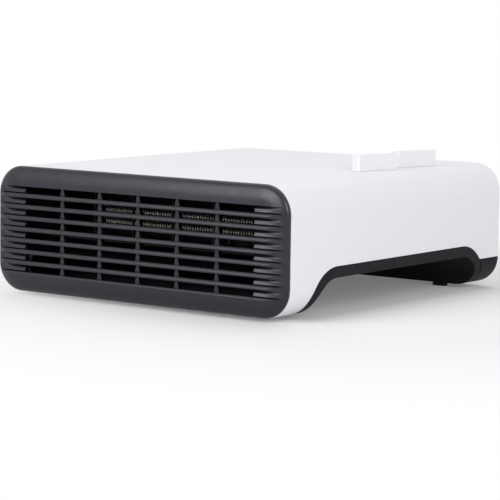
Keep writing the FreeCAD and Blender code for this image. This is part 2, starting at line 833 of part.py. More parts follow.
def control(label, back):
    """A control body hung from its posts, with a collar in the casing's hole and a bore for the spindle."""
    half = "control_length / 2"
    across = (f"{KNOB_X} - {half}", f"{KNOB_X} + {half}")
    side = "control_width / 2"
    low = f"{FLANGE_Z} - control_height"
    case = slab(f"{label}_case", across, (f"{back} - {side}", f"{back} + {side}"), (low, FLANGE_Z))
    reach = "control_ear + control_post_radius"
    ears = slab(f"{label}_ears", (f"{KNOB_X} - ({reach})", f"{KNOB_X} + {reach}"),
                (f"{back} - control_post_radius", f"{back} + control_post_radius"),
                (FLANGE_Z, f"{FLANGE_Z} + control_flange"))
    centre = (KNOB_X, back, FLANGE_Z)
    collar = rod(f"{label}_collar", "collar_radius", f"casing_height - fit - {FLANGE_Z}", centre)
    bore_low = f"{FLANGE_Z} - control_height / 2"
    foot = (KNOB_X, back, bore_low)
    holes = [rod(f"{label}_bore", "spindle_radius + running_gap", "casing_height", foot)]
    for end in ("control_ear", "-control_ear"):
        at = (f"{KNOB_X} + {end}", back, FLANGE_Z)
        holes.append(rod(f"{label}_ear_hole_{len(holes)}", "control_screw + fit", "control_flange", at))
    node(f"{label}_body", cut(f"{label}_control", fuse(f"{label}_solid", case, ears, collar), *holes))
    start = f"{bore_low} + fit"
    length = f"casing_height + knob_gap + spindle_grip - ({start})"
    spindle = rod(f"{label}_rod", "spindle_radius", length, AT_ORIGIN)
    node(f"{label}_spindle", spindle, (KNOB_X, back, start))
    knob(f"{label}_knob", back, f"{label}_turn")


# Intake and fan

def intake_guard():
    """Concentric bars and spokes in the floor's opening, hung from a lip on top of the floor."""
    body = new_body("guard")
    edge = "intake_radius - fit"
    rings = flat_sketch(body, "guard_rings_plan", "XY_Plane")
    for index in range(count("guard_rings")):
        outer = f"{edge} - {index} * guard_pitch"
        add_circle(rings, "0", "0", outer)
        add_circle(rings, "0", "0", f"{outer} - guard_bar")
    add_circle(rings, "0", "0", "guard_pitch / 2")
    pad(body, rings, "base_wall")
    spoke = rectangle("0", f"{edge} - guard_bar / 2", "-guard_bar / 2", "guard_bar / 2")
    circle_of(body, pad(body, outline(body, "guard_spoke", "XY_Plane", spoke), "base_wall"), "guard_spokes")
    lip = flat_sketch(body, "guard_lip_plan", "XY_Plane", "base_wall")
    add_circle(lip, "0", "0", "intake_radius + guard_flange")
    add_circle(lip, "0", "0", f"{edge} - guard_bar")
    pad(body, lip, "guard_lip")
    return node("intake_guard", body, ("fan_x", "fan_y", f"{FLOOR} - base_wall"))


def fan_housing():
    """The housing round the impeller: open below and towards the heater duct, round at the back."""
    body = new_body("housing")
    left = "fan_x - housing_half"
    right = "fan_x + housing_half"
    plan = [(left, "duct_back"), (right, "duct_back"), (right, HOUSING_BACK, "housing_round"),
            (left, HOUSING_BACK, "housing_round")]
    pad(body, outline(body, "housing_plan", "XY_Plane", plan, FLOOR), f"{HOUSING_HEIGHT} + housing_wall")
    inner_left = f"{left} + housing_wall"
    inner_right = f"{right} - housing_wall"
    inner_back = f"{HOUSING_BACK} - housing_wall"
    inner_round = "housing_round - housing_wall"
    mouth = "duct_back - housing_wall"
    room = [(inner_left, mouth), (inner_right, mouth), (inner_right, inner_back, inner_round),
            (inner_left, inner_back, inner_round)]
    pocket(body, outline(body, "housing_room", "XY_Plane", room, FLOOR), HOUSING_HEIGHT, reverse=True)
    ears = []
    holes = []
    level = f"{FLOOR} + post_height"
    for index, (across, back) in enumerate(place for place in seat_places() if "fan_x" in place[0]):
        inward = "+" if "fan_x -" in across else "-"
        size = ("ear_length", "ear_width", "ear_thickness")
        shift = f"{across} - ear_length / 2 {inward} housing_wall / 2"
        ears.append(block(f"housing_ear_{index}", size, (shift, f"{back} - ear_width / 2", level)))
        at = (across, back, level)
        holes.append(rod(f"housing_ear_hole_{index}", "screw_radius + fit", "ear_thickness", at))
    top = f"{HOUSING_TOP} - 2 * housing_wall"
    holes.append(rod("housing_shaft_hole", "bearing_radius", "3 * housing_wall", ("fan_x", "fan_y", top)))
    for side in ("-", "+"):
        at = (f"fan_x {side} motor_screw_x", "fan_y", top)
        name = f"housing_motor_hole_{len(holes)}"
        holes.append(rod(name, "motor_screw + press_gap", "3 * housing_wall", at))
    return node("fan_housing", cut("housing_holes", fuse("housing_whole", body, *ears), *holes))


def impeller():
    """A back plate and hub with a ring of leaning blades below."""
    body = new_body("wheel")
    plate_low = f"{IMPELLER_HEIGHT} - plate_thickness"
    pad(body, circle_sketch(body, "wheel_plate", "XY_Plane", "impeller_radius", plate_low), "plate_thickness")
    hub = circle_sketch(body, "wheel_hub", "XY_Plane", "hub_radius", "hub_rise")
    pad(body, hub, f"{IMPELLER_HEIGHT} - hub_rise")
    tip = "impeller_radius - plate_thickness"
    half = "blade_thickness / 2"
    corners = [("blade_inner", f"-{half}"), (tip, f"blade_lean - {half}"), (tip, f"blade_lean + {half}"),
               ("blade_inner", half)]
    blade = outline(body, "wheel_blade", "XY_Plane", corners)
    circle_of(body, pad(body, blade, f"{IMPELLER_HEIGHT} - plate_thickness / 2"), "blade_count")
    band = flat_sketch(body, "wheel_band", "XY_Plane")
    add_circle(band, "0", "0", "impeller_radius")
    add_circle(band, "0", "0", "impeller_radius - 2 * plate_thickness")
    pad(body, band, "plate_thickness")
    bore = circle_sketch(body, "wheel_bore", "XY_Plane", "shaft_radius + press_gap")
    pocket(body, bore, f"2 * {IMPELLER_HEIGHT}", reverse=True)
    node("impeller", body, ("fan_x", "fan_y", IMPELLER_Z))
    seat = ("fan_x", "fan_y", f"{IMPELLER_Z} + hub_rise - clip_thickness")
    clip = ring("clip", "hub_radius / 2", "shaft_radius + press_gap", "clip_thickness", seat)
    node("impeller_clip", clip)


# Motor

def bearing_level(bracket):
    return f"({bracket} + bracket_thickness / 2 - bearing_height / 2)"


def motor_frame(label, level):
    """A flat bracket across the stack that carries a bearing."""
    half = "bracket_length / 2"
    side = "bracket_width / 2"
    across = (f"fan_x - {half}", f"fan_x + {half}")
    back = (f"fan_y - {side}", f"fan_y + {side}")
    strip = slab(f"{label}_strip", across, back, (level, f"{level} + bracket_thickness"))
    holes = [rod(f"{label}_bearing_hole", "bearing_radius + press_gap", "bracket_thickness",
                 ("fan_x", "fan_y", level))]
    for sign in ("-", "+"):
        at = (f"fan_x {sign} motor_screw_x", "fan_y", level)
        holes.append(rod(f"{label}_hole_{len(holes)}", "motor_screw + press_gap", "bracket_thickness", at))
    node(label, cut(f"{label}_bracket", strip, *holes))


def motor():
    """A shaded pole motor that stands on the fan housing and drives the impeller below it."""
    axis = ("fan_x", "fan_y")
    motor_frame("motor_lower_bracket", LOWER_BRACKET_Z)
    motor_frame("motor_upper_bracket", UPPER_BRACKET_Z)
    bushes = []
    for index, bracket in enumerate((LOWER_BRACKET_Z, UPPER_BRACKET_Z)):
        low = axis + (bearing_level(bracket),)
        bore = "shaft_radius + running_gap"
        bushes.append(ring(f"bearing_{index}", "bearing_radius", bore, "bearing_height", low))
    node("motor_bearings", group("bearing_set", bushes))

    stack_span = (STACK_Z, f"{STACK_Z} + stack_height")
    plate = slab("stack", ("fan_x - stack_half_width", "fan_x + stack_half_width"),
                 ("fan_y - stack_front", "fan_y + stack_back"), stack_span)
    bore = rod("stack_bore", "rotor_radius + air_gap", "stack_height", axis + (STACK_Z,))
    window_front = "fan_y + rotor_radius + air_gap + window_wall"
    leg_front = "fan_y + stack_back - stack_leg"
    window = slab("stack_window", ("fan_x - window_half_width", "fan_x + window_half_width"),
                  (window_front, leg_front), stack_span)
    holes = []
    for sign in ("-", "+"):
        at = (f"fan_x {sign} motor_screw_x", "fan_y", STACK_Z)
        holes.append(rod(f"stack_hole_{len(holes)}", "motor_screw + press_gap", "stack_height", at))
    node("motor_stator", cut("stack_cut", plate, bore, window, *holes))

    def leg_box(name, half, growth):
        return slab(name, (f"fan_x - ({half})", f"fan_x + {half}"),
                    (f"{leg_front} - ({growth})", f"fan_y + stack_back + {growth}"),
                    (f"{STACK_Z} - ({growth})", f"{STACK_Z} + stack_height + {growth}"))

    tube = leg_box("bobbin_tube", "bobbin_half", "bobbin_wall")
    flanges = []
    for sign in ("-", "+"):
        edges = (f"fan_x {sign} bobbin_half", f"fan_x {sign} (bobbin_half - bobbin_flange)")
        low, high = edges if sign == "-" else edges[::-1]
        growth = "(bobbin_wall + winding_depth)"
        flanges.append(slab(f"bobbin_flange_{len(flanges)}", (low, high),
                            (f"{leg_front} - {growth}", f"fan_y + stack_back + {growth}"),
                            (f"{STACK_Z} - {growth}", f"{STACK_Z} + stack_height + {growth}")))
    clear_leg = leg_box("bobbin_bore", "bobbin_half", "press_gap")
    node("motor_bobbin", cut("bobbin", fuse("bobbin_solid", tube, *flanges), clear_leg))
    inside = "bobbin_half - bobbin_flange - press_gap"
    wound = leg_box("winding_outer", inside, "bobbin_wall + winding_depth - fit")
    node("motor_winding", cut("winding", wound, leg_box("winding_inner", inside, "bobbin_wall + press_gap")))

    rotor = ring("rotor", "rotor_radius", "shaft_radius + press_gap", "stack_height", axis + (STACK_Z,))
    node("motor_rotor", rotor)
    start = f"{IMPELLER_Z} + hub_rise - 2 * clip_thickness"
    end = f"{bearing_level(UPPER_BRACKET_Z)} + bearing_height"
    node("motor_shaft", rod("shaft", "shaft_radius", f"{end} - ({start})", AT_ORIGIN), axis + (start,))

    spacers, grommets, bolts = [], [], []
    gap = "motor_screw + press_gap"
    for sign in ("-", "+"):
        across = f"fan_x {sign} motor_screw_x"
        for level in (f"{LOWER_BRACKET_Z} + bracket_thickness", f"{STACK_Z} + stack_height"):
            name = f"spacer_{len(spacers)}"
            spacers.append(ring(name, "spacer_radius", gap, "spacer_height", (across, "fan_y", level)))
        grommet = f"grommet_{len(grommets)}"
        seat = (across, "fan_y", HOUSING_TOP)
        grommets.append(ring(grommet, "grommet_radius", gap, "grommet_height", seat))
        top = f"{UPPER_BRACKET_Z} + bracket_thickness"
        length = f"{top} - {HOUSING_TOP} + housing_wall"
        bolt = f"motor_bolt_{len(bolts)}"
        bolts.append(screw(bolt, "motor_screw", "2 * motor_screw", "motor_screw", length,
                           (across, "fan_y", top), up=False))
    node("motor_spacers", group("spacer_set", spacers))
    node("motor_grommets", group("grommet_set", grommets))
    node("motor_screws", group("bolt_set", bolts))


# Heater

def heater_duct():
    """A sheet box round the element, open to the front and to the fan housing's mouth."""
    half = DUCT_HALF
    outer = slab("duct_outer", (f"-{half}", half), ("duct_front", "duct_back"), (FLOOR, DUCT_TOP))
    room = slab("duct_room", (f"duct_wall - {half}", f"{half} - duct_wall"),
                ("duct_front - duct_wall", "duct_back - duct_wall"),
                (f"{FLOOR} + duct_wall", f"{DUCT_TOP} - duct_wall"))
    mouth = slab("duct_mouth", ("fan_x - housing_half + housing_wall", "fan_x + housing_half - housing_wall"),
                 ("duct_back - 2 * duct_wall", "duct_back + duct_wall"),
                 (f"{FLOOR} + duct_wall", f"{FLOOR} + {HOUSING_HEIGHT}"))
    ears, holes = [], []
    level = f"{FLOOR} + post_height"
    for across, back in (place for place in seat_places() if "fan_x" not in place[0]):
        inward = "+" if "0 -" in across else "-"
        corner = f"{across} - ear_length / 2 {inward} duct_wall / 2"
        size = ("ear_length", "ear_width", "ear_thickness")
        ears.append(block(f"duct_ear_{len(ears)}", size, (corner, f"{back} - ear_width / 2", level)))
        at = (across, back, level)
        holes.append(rod(f"duct_ear_hole_{len(holes)}", "screw_radius + fit", "ear_thickness", at))
    return node("heater_duct", cut("duct", fuse("duct_solid", outer, *ears), room, mouth, *holes))


def row_places():
    """The depth and height of each row of coil, with the outer rows behind the middle ones."""
    middle = "(row_count - 1) / 2"
    last = count("row_count") - 1
    places = []
    for index in range(last + 1):
        way = "+" if index in (0, last) else "-"
        places.append((f"(element_y {way} row_stagger)", f"({ELEMENT_Z} + ({index} - {middle}) * row_pitch)"))
    return places


def mica_board(name, across, bore):
    """An upright board across the air flow, with one hole for each row of coil."""
    back = ("element_y - element_depth / 2", "element_y + element_depth / 2")
    up = (f"{ELEMENT_Z} - {FRAME_HALF}", f"{ELEMENT_Z} + {FRAME_HALF}")
    board = slab(name, (across, f"{across} + mica_thickness"), back, up)
    holes = []
    for depth, level in row_places():
        at = (across, depth, level)
        holes.append(rod(f"{name}_hole_{len(holes)}", bore, "mica_thickness", at, "x"))
    return cut(name + "_drilled", board, *holes)


def element():
    """The mica frame in the duct, with the rivets that hold the coils at its ends."""
    half = "element_width / 2"
    tail_bore = "terminal_radius / 2 + press_gap"
    ends = [mica_board("end_board_left", f"(element_x - {half} - mica_thickness)", tail_bore),
            mica_board("end_board_right", f"(element_x + {half})", tail_bore)]
    node("mica_end_boards", group("end_board_set", ends))
    boards = []
    for index in (-1, 0, 1):
        across = f"(element_x + {index} * support_spacing - mica_thickness / 2)"
        boards.append(mica_board(f"support_board_{index + 1}", across, "coil_hole"))
    node("mica_support_boards", group("support_board_set", boards))
    reach = f"{DUCT_HALF} - duct_wall"
    back = ("element_y - element_depth / 2", "element_y + element_depth / 2")
    rails = []
    for level in (f"{ELEMENT_Z} - {FRAME_HALF} - mica_thickness", f"{ELEMENT_Z} + {FRAME_HALF}"):
        up = (level, f"{level} + mica_thickness")
        rails.append(slab(f"rail_{len(rails)}", (f"-({reach})", reach), back, up))
    node("mica_rails", group("rail_set", rails))
    rivets = []
    tail = "mica_thickness + terminal_tail"
    for sign in ("-", "+"):
        for depth, level in row_places():
            name = f"rivet_{len(rivets)}"
            face = f"element_x {sign} {half}"
            head_start = face if sign == "-" else f"{face} - terminal_thickness"
            tail_start = f"{face} - ({tail})" if sign == "-" else face
            inner = (head_start, depth, level)
            outer = (tail_start, depth, level)
            head = rod(name + "_head", "terminal_radius", "terminal_thickness", inner, "x")
            stem = rod(name + "_stem", "terminal_radius / 2", tail, outer, "x")
            rivets.append(fuse(name, head, stem))
    node("coil_terminals", group("rivet_set", rivets))
    rail_brackets()


def rail_brackets():
    """Blocks on the duct's sides that hold the two rails between them."""
    wall = f"{DUCT_HALF} - duct_wall"
    back = ("element_y - element_depth / 2", "element_y + element_depth / 2")
    edge = f"{FRAME_HALF} + mica_thickness"
    blocks = []
    for span in ((f"-({wall})", f"rail_bracket - ({wall})"), (f"{wall} - rail_bracket", wall)):
        for up in ((f"{FLOOR} + duct_wall", f"{ELEMENT_Z} - ({edge})"),
                   (f"{ELEMENT_Z} + {edge}", f"{DUCT_TOP} - duct_wall")):
            blocks.append(slab(f"rail_bracket_{len(blocks)}", span, back, up))
    node("rail_brackets", group("rail_bracket_set", blocks))


def biarc(start, start_way, end, end_way):
    """Two arcs that leave start and reach end along the given ways."""
    chord = end - start
    both = start_way + end_way
    spread = 2 * (1 - start_way.dot(end_way))
    along = chord.dot(both)
    reach = (math.sqrt(along * along + spread * chord.dot(chord)) - along) / spread
    first = start + start_way * reach
    second = end - end_way * reach
    middle = (first + second) * 0.5
    return [corner_arc(start, first, middle), corner_arc(middle, second, end)]


def corner_arc(start, corner, end):
    """The arc that touches both legs of a corner at their ends."""
    half_way = (start + end) * 0.5
    half_chord = (end - start).Length / 2
    leg = (corner - start).Length
    rise = (corner - half_way).Length
    radius = half_chord * leg / rise
    bulge = radius - math.sqrt(radius * radius - half_chord * half_chord)
    crown = half_way + (corner - half_way).normalize() * bulge
    return Part.Arc(start, crown, end)


QUARTERS = 4


def coil_stations():
    """Places and ways along one coil about the X axis: a straight lead, the turns, a straight lead."""
    radius = value("coil_radius")
    turns = count("coil_turns")
    lead = value("coil_lead")
    end = value("element_width / 2 - terminal_thickness")
    wire = value("coil_wire")
    wound = 2 * (end - wire - lead)
    slope = wound / (2 * math.pi * turns)
    way_x = Vector(1, 0, 0)
    stations = []
    for step in range(turns * QUARTERS + 1):
        angle = 2 * math.pi * step / QUARTERS
        place_now = Vector(slope * angle - wound / 2, radius * math.sin(angle), radius * math.cos(angle))
        way = Vector(slope, radius * math.cos(angle), -radius * math.sin(angle)).normalize()
        stations.append((place_now, way))
    side = stations[0][0]
    first = Vector(wire - end, side.y - lead / 2, side.z)
    last = Vector(end - wire, stations[-1][0].y + lead / 2, side.z)
    return [(first, way_x)] + stations + [(last, way_x)]


def coil_path():
    stations = coil_stations()
    wire = Vector(value("coil_wire"), 0, 0)
    arcs = []
    for (start, start_way), (end, end_way) in zip(stations, stations[1:]):
        arcs.extend(biarc(start, start_way, end, end_way))
    first = stations[0][0]
    last = stations[-1][0]
    curves = [Part.LineSegment(first - wire, first)] + arcs + [Part.LineSegment(last, last + wire)]
    tightest = min(arc.toShape().Curve.Radius for arc in arcs)
    return Part.Wire([curve.toShape() for curve in curves]), tightest


def self_gap(path, wire):
    """The least distance between two parts of the path that are not neighbours along it, less the wire."""
    spacing = wire / 2
    points = path.discretize(Number=int(path.Length / spacing))
    away = int(math.pi * value("coil_radius") / spacing)
    window = 3 * away
    least = path.Length
    for index, point in enumerate(points):
        for other in points[index + away:index + window]:
            least = min(least, (other - point).Length)
    return least - wire


def heating_coils():
    """One unbroken coil of resistance wire for each row."""
    path, tightest = coil_path()
    wire = value("coil_wire")
    start = path.Edges[0].valueAt(path.Edges[0].FirstParameter)
    section = Part.Wire([Part.Circle(start, Vector(1, 0, 0), wire / 2).toShape()])
    tube = path.makePipeShell([section], True, False)
    expected = math.pi * wire * wire / 4 * path.Length
    print(f"coil: least gap {self_gap(path, wire):.2f} mm, tightest arc {tightest:.2f} mm, "
          f"volume {tube.Volume:.1f} of {expected:.1f} mm3")
    rows = []
    for depth, level in row_places():
        copy = tube.copy()
        copy.translate(Vector(value("element_x"), value(depth), value(level)))
        rows.append(copy)
    item = doc.addObject("Part::Feature", "coils")
    item.Shape = Part.makeCompound(rows)
    return node("heating_coils", item)


def safety_parts():
    """The cut-out on the duct's top and the one-shot fuse on the upper rail."""
    base = ("cutout_x", "cutout_y", DUCT_TOP)
    cap = rod("cutout_cap", "cutout_radius", "cutout_height", base)
    half = "cutout_radius + ear_thickness"
    tabs = slab("cutout_tabs", (f"cutout_x - ({half})", f"cutout_x + {half}"),
                ("cutout_y - ear_thickness", "cutout_y + ear_thickness"),
                (f"{DUCT_TOP} + cutout_height - duct_wall", f"{DUCT_TOP} + cutout_height"))
    node("thermal_cutout", fuse("cutout", cap, tabs))
    level = f"{ELEMENT_Z} + {FRAME_HALF} + mica_thickness + fuse_radius"
    case = rod("fuse_case", "fuse_radius", "fuse_length", AT_ORIGIN, "x")
    node("thermal_fuse", case, ("fuse_x", "element_y", level))


# Wiring

def terminal_block():
    """A screw terminal strip on the raised floor, near the cord inlet."""
    left = f"{INLET_X} - block_length / 2"
    front = f"{BLOCK_Y} - block_width / 2"
    strip = block("strip", ("block_length", "block_width", "block_height"), (left, front, FLOOR))
    holes = []
    for index in range(count("block_ways")):
        across = f"{left} + ({index} + 0.5) * block_length / block_ways"
        level = f"{FLOOR} + block_height * 0.4"
        holes.append(rod(f"way_{index}", "block_bore", "block_width", (across, front, level), "y"))
        top = (across, BLOCK_Y, level)
        holes.append(rod(f"way_screw_{index}", "block_bore", "block_height * 0.6", top))
    return node("terminal_block", cut("strip_cut", strip, *holes))


# Routes of the leads, each from a terminal to a terminal
WAY = (f"{INLET_X} - block_length / 2 + block_length / block_ways / 2", f"{FLOOR} + block_height * 0.4")
CONTROL_LOW = f"{FLANGE_Z} - control_height"
CONTROL_MIDDLE = f"{FLANGE_Z} - control_height / 2"
CUTOUT_TAB = f"{DUCT_TOP} + cutout_height - duct_wall / 2"
COIL_BACK = "fan_y + stack_back + bobbin_wall + winding_depth - fit"
COIL_MIDDLE = f"{STACK_Z} + stack_height / 2"
LEADS = {
    "supply to selector": [
        (WAY[0], f"{BLOCK_Y} - block_width / 4", WAY[1]),
        (WAY[0], f"{SELECTOR_Y} - control_width / 8", WAY[1]),
        (WAY[0], f"{SELECTOR_Y} - control_width / 8", CONTROL_LOW),
    ],
    "selector to thermostat": [
        (f"{KNOB_X} + lead_shift", f"{SELECTOR_Y} - lead_shift", CONTROL_LOW),
        (f"{KNOB_X} + lead_shift", f"{SELECTOR_Y} - lead_shift", f"{CONTROL_LOW} - lead_sag"),
        (f"{KNOB_X} + lead_shift", f"{THERMOSTAT_Y} + lead_shift", f"{CONTROL_LOW} - lead_sag"),
        (f"{KNOB_X} + lead_shift", f"{THERMOSTAT_Y} + lead_shift", CONTROL_LOW),
    ],
    "thermostat to cut-out": [
        (f"{KNOB_X} - lead_shift", f"{THERMOSTAT_Y} - control_width / 2", CONTROL_MIDDLE),
        (f"{KNOB_X} - lead_shift", f"({THERMOSTAT_Y} - control_width / 2 + duct_back) / 2", CONTROL_MIDDLE),
        (f"{KNOB_X} - lead_shift", "duct_back", CUTOUT_TAB),
        (f"{KNOB_X} - 2 * lead_shift", "cutout_y", CUTOUT_TAB),
        ("cutout_x + cutout_radius + ear_thickness", "cutout_y", CUTOUT_TAB),
    ],
    "motor to selector": [
        ("fan_x", COIL_BACK, COIL_MIDDLE),
        ("fan_x", f"{COIL_BACK} + lead_sag", COIL_MIDDLE),
        (f"{KNOB_X} - control_length / 2 - 2 * lead_sag", SELECTOR_Y, CONTROL_MIDDLE),
        (f"{KNOB_X} - control_length / 2", SELECTOR_Y, CONTROL_MIDDLE),
    ],
}
LEAD_SHARE = 0.45


def lead(points):
    """A wire along straight runs, with each bend as wide as its shorter run allows."""
    corners = [Vector(*map(value, point)) for point in points]
    curves = []
    start = corners[0]
    for before, here, after in zip(corners, corners[1:], corners[2:]):
        run = LEAD_SHARE * min((before - here).Length, (after - here).Length)
        arrive = here + (before - here).normalize() * run
        leave = here + (after - here).normalize() * run
        curves.extend([Part.LineSegment(start, arrive), corner_arc(arrive, here, leave)])
        start = leave
    curves.append(Part.LineSegment(start, corners[-1]))
    path = Part.Wire([curve.toShape() for curve in curves])
    way = corners[1] - corners[0]
    section = Part.Wire([Part.Circle(corners[0], way, value("wire_radius")).toShape()])
    return path.makePipeShell([section], True, False)


def lead_wires():
    item = doc.addObject("Part::Feature", "leads")
    item.Shape = Part.makeCompound([lead(points) for points in LEADS.values()])
    return node("lead_wires", item)


def main():
    top_casing()
    base_tray()
    front_grille()
    rear_panel()
    cord_inlet()
    rubber_feet()
    screws()
    for label, back in CONTROLS.items():
        control(label, back)
    intake_guard()
    fan_housing()
    impeller()
    motor()
    heater_duct()
    element()
    heating_coils()
    safety_parts()
    terminal_block()
    lead_wires()
    doc.recompute()
    write_parts()


def write_parts():
    """Check every object, then write each sub-part."""
    for item in doc.Objects:
        if "Invalid" in item.State or "Error" in item.State:
            raise RuntimeError(f"{item.Name} did not recompute: {item.State}")
    for label, item in nodes.items():
        if item.Shape.isNull() or not item.Shape.isValid():
            raise RuntimeError(f"{label} has no valid shape")
    os.makedirs("parts", exist_ok=True)
    for label, item in nodes.items():
        item.Shape.exportStep(f"parts/{label}.step")
        print(f"{label}: {len(item.Shape.Solids)} solids, {item.Shape.Volume / 1000:.1f} cm3")


main()
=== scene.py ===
import json
import math

import bpy
from mathutils import Matrix, Vector

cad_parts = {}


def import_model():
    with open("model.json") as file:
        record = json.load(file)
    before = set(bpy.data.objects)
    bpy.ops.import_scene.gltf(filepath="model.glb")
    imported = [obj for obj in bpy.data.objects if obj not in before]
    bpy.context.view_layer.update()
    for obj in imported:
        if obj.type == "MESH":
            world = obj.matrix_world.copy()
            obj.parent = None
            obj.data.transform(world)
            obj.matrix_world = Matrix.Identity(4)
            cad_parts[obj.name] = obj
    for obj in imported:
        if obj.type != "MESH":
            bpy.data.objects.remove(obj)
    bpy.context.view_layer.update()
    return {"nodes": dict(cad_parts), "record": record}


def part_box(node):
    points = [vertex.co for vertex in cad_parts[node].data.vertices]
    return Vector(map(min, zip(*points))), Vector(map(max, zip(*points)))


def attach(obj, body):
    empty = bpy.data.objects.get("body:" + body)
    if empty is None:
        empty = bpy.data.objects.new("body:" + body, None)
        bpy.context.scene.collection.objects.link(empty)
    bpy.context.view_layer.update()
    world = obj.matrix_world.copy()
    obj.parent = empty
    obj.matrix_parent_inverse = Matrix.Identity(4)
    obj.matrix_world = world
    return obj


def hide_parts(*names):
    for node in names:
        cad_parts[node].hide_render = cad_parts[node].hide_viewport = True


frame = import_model()

# Sizes are in metres, in the frame's axes: +Z up, the slatted front towards -Y, the knobs towards +X
MM = 0.001

# Camera: the photograph's angles, its place and its focal length in picture widths
CAMERA_PLACE = Vector((1184.7, -1625.1, 262.0)) * MM
CAMERA_YAW = math.radians(36.15)
CAMERA_PITCH = math.radians(6.45)
CAMERA_ROLL = math.radians(0.79)
CAMERA_FOCAL = 4.676
SENSOR = 36.0

# Element: turns of each coil of resistance wire and the wire's size
COIL_ROWS = 4
COIL_TURNS = 60
COIL_RADIUS = 3.2 * MM
COIL_WIRE = 0.5 * MM
COIL_LEAD = 3.0 * MM
STEPS_PER_TURN = 12

# Rounds on the edges of moulded pieces
EDGE_ROUNDS = {
    "thermostat_knob": 0.3 * MM,
    "selector_knob": 0.3 * MM,
    "top_casing": 0.5 * MM,
    "base_tray": 0.6 * MM,
    "rubber_feet": 0.6 * MM,
}
EDGE_SEGMENTS = 3
EDGE_ANGLE = math.radians(60)
WELD_REACH = 0.002 * MM

# Surfaces: the noises' spots per metre and detail, and how far gloss and tint stray from their middle
NOISE_SPAN = (0.3, 0.7)
SPOT_DETAIL = 4.0
LINE_DETAIL = 3.0
GRAIN_DETAIL = 2.0
MOTTLE_SPOTS = 18
GLOSS_SPOTS = 90
GLOSS_SPREAD = 0.05
TARNISH_SPOTS = 60
TARNISH = (0.85, 1.1)
METAL_GLOSS_SPREAD = (-0.08, 0.1)
METAL_BUMP = 0.3
FLAKE_SPOTS = 420.0
FLAKE_DEPTH = 0.05 * MM
FLAKE_BUMP = 0.4
MICA_ROUGHNESS = 0.6
MICA_SPECULAR = 0.15

# Floor and light: the floor's own shade shows near its centre, and white from its far distance on
FLOOR_HALF = 6.0
FLOOR_COLOUR = (0.86, 0.86, 0.86, 1)
FLOOR_ROUGHNESS = 0.9
FLOOR_SPECULAR = 0.1
FLOOR_CENTRE = (0.15, 0.08, 0)
FLOOR_NEAR = 0.22
FLOOR_FAR = 0.60
FLOOR_LIFT = 0.15
WORLD_LIGHT = 0.45
WHITE = (1, 1, 1, 1)

# Each lamp's place, width and height, and power
LAMPS = {
    "overhead": ((-0.25, 0.35, 1.6), (1.6, 1.6), 7.6),
    "front": ((-0.47, -1.85, 0.83), (1.4, 0.9), 19.5),
    "right_fill": ((1.75, -0.8, 0.9), (1.2, 1.0), 16.4),
}
LAMP_AIM = Vector((0, 0, 0.06))


# Node trees

def add_node(tree, kind, settings=None, **inputs):
    """A shader node with its properties and unlinked inputs set."""
    item = tree.nodes.new(kind)
    for name, setting in (settings or {}).items():
        setattr(item, name, setting)
    for name, number in inputs.items():
        item.inputs[name].default_value = number
    return item


def surface_noise(tree, scale, detail=SPOT_DETAIL):
    """Noise fixed to the object, with its scale in spots per metre."""
    place = add_node(tree, "ShaderNodeTexCoord")
    spots = add_node(tree, "ShaderNodeTexNoise", Scale=scale, Detail=detail)
    tree.links.new(place.outputs["Object"], spots.inputs["Vector"])
    return spots.outputs["Fac"]


def stretched_noise(tree, scale, stretch):
    """Noise drawn out along some axes, such as the lines of rolled or drawn metal."""
    place = add_node(tree, "ShaderNodeTexCoord")
    drawn = add_node(tree, "ShaderNodeMapping", Scale=stretch)
    spots = add_node(tree, "ShaderNodeTexNoise", Scale=scale, Detail=LINE_DETAIL)
    tree.links.new(place.outputs["Object"], drawn.inputs["Vector"])
    tree.links.new(drawn.outputs["Vector"], spots.inputs["Vector"])
    return spots.outputs["Fac"]


def between(tree, factor, low, high):
    """A number that runs from low to high as the noise does."""
    spread = add_node(tree, "ShaderNodeMapRange")
    spread.inputs["From Min"].default_value, spread.inputs["From Max"].default_value = NOISE_SPAN
    spread.inputs["To Min"].default_value = low
    spread.inputs["To Max"].default_value = high
    tree.links.new(factor, spread.inputs["Value"])
    return spread.outputs["Result"]


def mixed(tree, factor, one, other):
    """A colour between two others."""
    ramp = add_node(tree, "ShaderNodeValToRGB")
    for stop, colour in zip(ramp.color_ramp.elements, (one, other)):
        stop.color = (*colour, 1)
    tree.links.new(factor, ramp.inputs["Fac"])
    return ramp.outputs["Color"]


def bumped(tree, height, depth, strength):
    """A normal that follows a height."""
    bump = add_node(tree, "ShaderNodeBump", Strength=strength, Distance=depth)
    tree.links.new(height, bump.inputs["Height"])
    return bump.outputs["Normal"]


def shaded(colour, scale):
    """A colour made lighter or darker."""
    return tuple(min(1.0, part * scale) for part in colour)


# Materials

def new_material(name):
    """A material with its node tree and its shader."""
    material = bpy.data.materials.new(name)
    material.use_nodes = True
    return material, material.node_tree, material.node_tree.nodes["Principled BSDF"]


def moulded(name, colour, roughness, grain=1600, depth=0.02 * MM, strength=0.25, mottle=0.03, specular=0.5,
            gloss_tint=(1, 1, 1)):
    """Moulded plastic: a faint mottle, uneven gloss and a fine spark-eroded grain."""
    material, tree, shader = new_material(name)
    mottling = surface_noise(tree, MOTTLE_SPOTS)
    tint = mixed(tree, mottling, shaded(colour, 1 - mottle), shaded(colour, 1 + mottle))
    tree.links.new(tint, shader.inputs["Base Color"])
    unevenness = surface_noise(tree, GLOSS_SPOTS)
    gloss = between(tree, unevenness, roughness - GLOSS_SPREAD, roughness + GLOSS_SPREAD)
    tree.links.new(gloss, shader.inputs["Roughness"])
    skin = bumped(tree, surface_noise(tree, grain, GRAIN_DETAIL), depth, strength)
    tree.links.new(skin, shader.inputs["Normal"])
    shader.inputs["Specular IOR Level"].default_value = specular
    shader.inputs["Specular Tint"].default_value = (*gloss_tint, 1)
    return material


